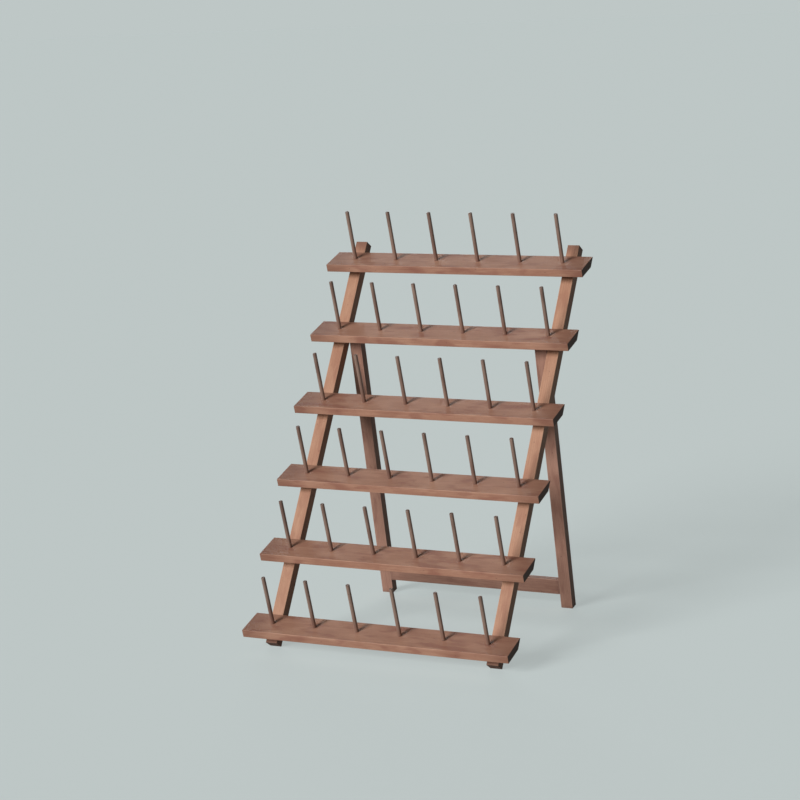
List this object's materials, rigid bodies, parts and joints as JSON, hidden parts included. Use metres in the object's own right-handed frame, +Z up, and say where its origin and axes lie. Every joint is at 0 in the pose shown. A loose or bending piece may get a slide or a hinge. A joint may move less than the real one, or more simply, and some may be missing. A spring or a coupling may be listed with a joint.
{
  "type": "thread rack",
  "caption": "Free-standing wooden thread rack with sloping shelves of upright pegs on two leaning rails, propped by a hinged frame that folds flat.",
  "frame": {"origin": "on the floor, under the middle of the rack's width and depth", "axes": "+X runs along the shelves to the right seen from the front, +Y runs towards the back, +Z is up"},
  "size_m": [0.43, 0.3923, 0.6257],
  "materials": {
    "rail_wood": "satin lacquered beech battens with fine straight grain",
    "shelf_wood": "satin lacquered beech boards with fine straight grain",
    "leg_wood": "satin lacquered beech, a shade redder",
    "peg_wood": "smooth pale hardwood dowel",
    "steel": "zinc plated steel"
  },
  "bodies": {
    "rack": {"left_rail": "rail_wood", "right_rail": "rail_wood", "shelf_1": "shelf_wood", "shelf_2": "shelf_wood", "shelf_3": "shelf_wood", "shelf_4": "shelf_wood", "shelf_5": "shelf_wood", "shelf_6": "shelf_wood", "peg_1_1": "peg_wood", "peg_1_2": "peg_wood", "peg_1_3": "peg_wood", "peg_1_4": "peg_wood", "peg_1_5": "peg_wood", "peg_1_6": "peg_wood", "peg_2_1": "peg_wood", "peg_2_2": "peg_wood", "peg_2_3": "peg_wood", "peg_2_4": "peg_wood", "peg_2_5": "peg_wood", "peg_2_6": "peg_wood", "peg_3_1": "peg_wood", "peg_3_2": "peg_wood", "peg_3_3": "peg_wood", "peg_3_4": "peg_wood", "peg_3_5": "peg_wood", "peg_3_6": "peg_wood", "peg_4_1": "peg_wood", "peg_4_2": "peg_wood", "peg_4_3": "peg_wood", "peg_4_4": "peg_wood", "peg_4_5": "peg_wood", "peg_4_6": "peg_wood", "peg_5_1": "peg_wood", "peg_5_2": "peg_wood", "peg_5_3": "peg_wood", "peg_5_4": "peg_wood", "peg_5_5": "peg_wood", "peg_5_6": "peg_wood", "peg_6_1": "peg_wood", "peg_6_2": "peg_wood", "peg_6_3": "peg_wood", "peg_6_4": "peg_wood", "peg_6_5": "peg_wood", "peg_6_6": "peg_wood", "shelf_screws": "steel", "pivot_bolts": "steel", "outer_washers": "steel", "pivot_spacers": "steel", "inner_washers": "steel", "cap_nuts": "steel"},
    "support_frame": {"left_leg": "leg_wood", "right_leg": "leg_wood", "stretcher": "leg_wood", "stretcher_dowels": "peg_wood"}
  },
  "joints": [
    {"name": "support_fold", "type": "hinge", "parent": "rack", "child": "support_frame", "pos_m": [0, 0.10363, 0.43022], "axis": [-1, 0, 0], "range_deg": [0, 43]}
  ]
}
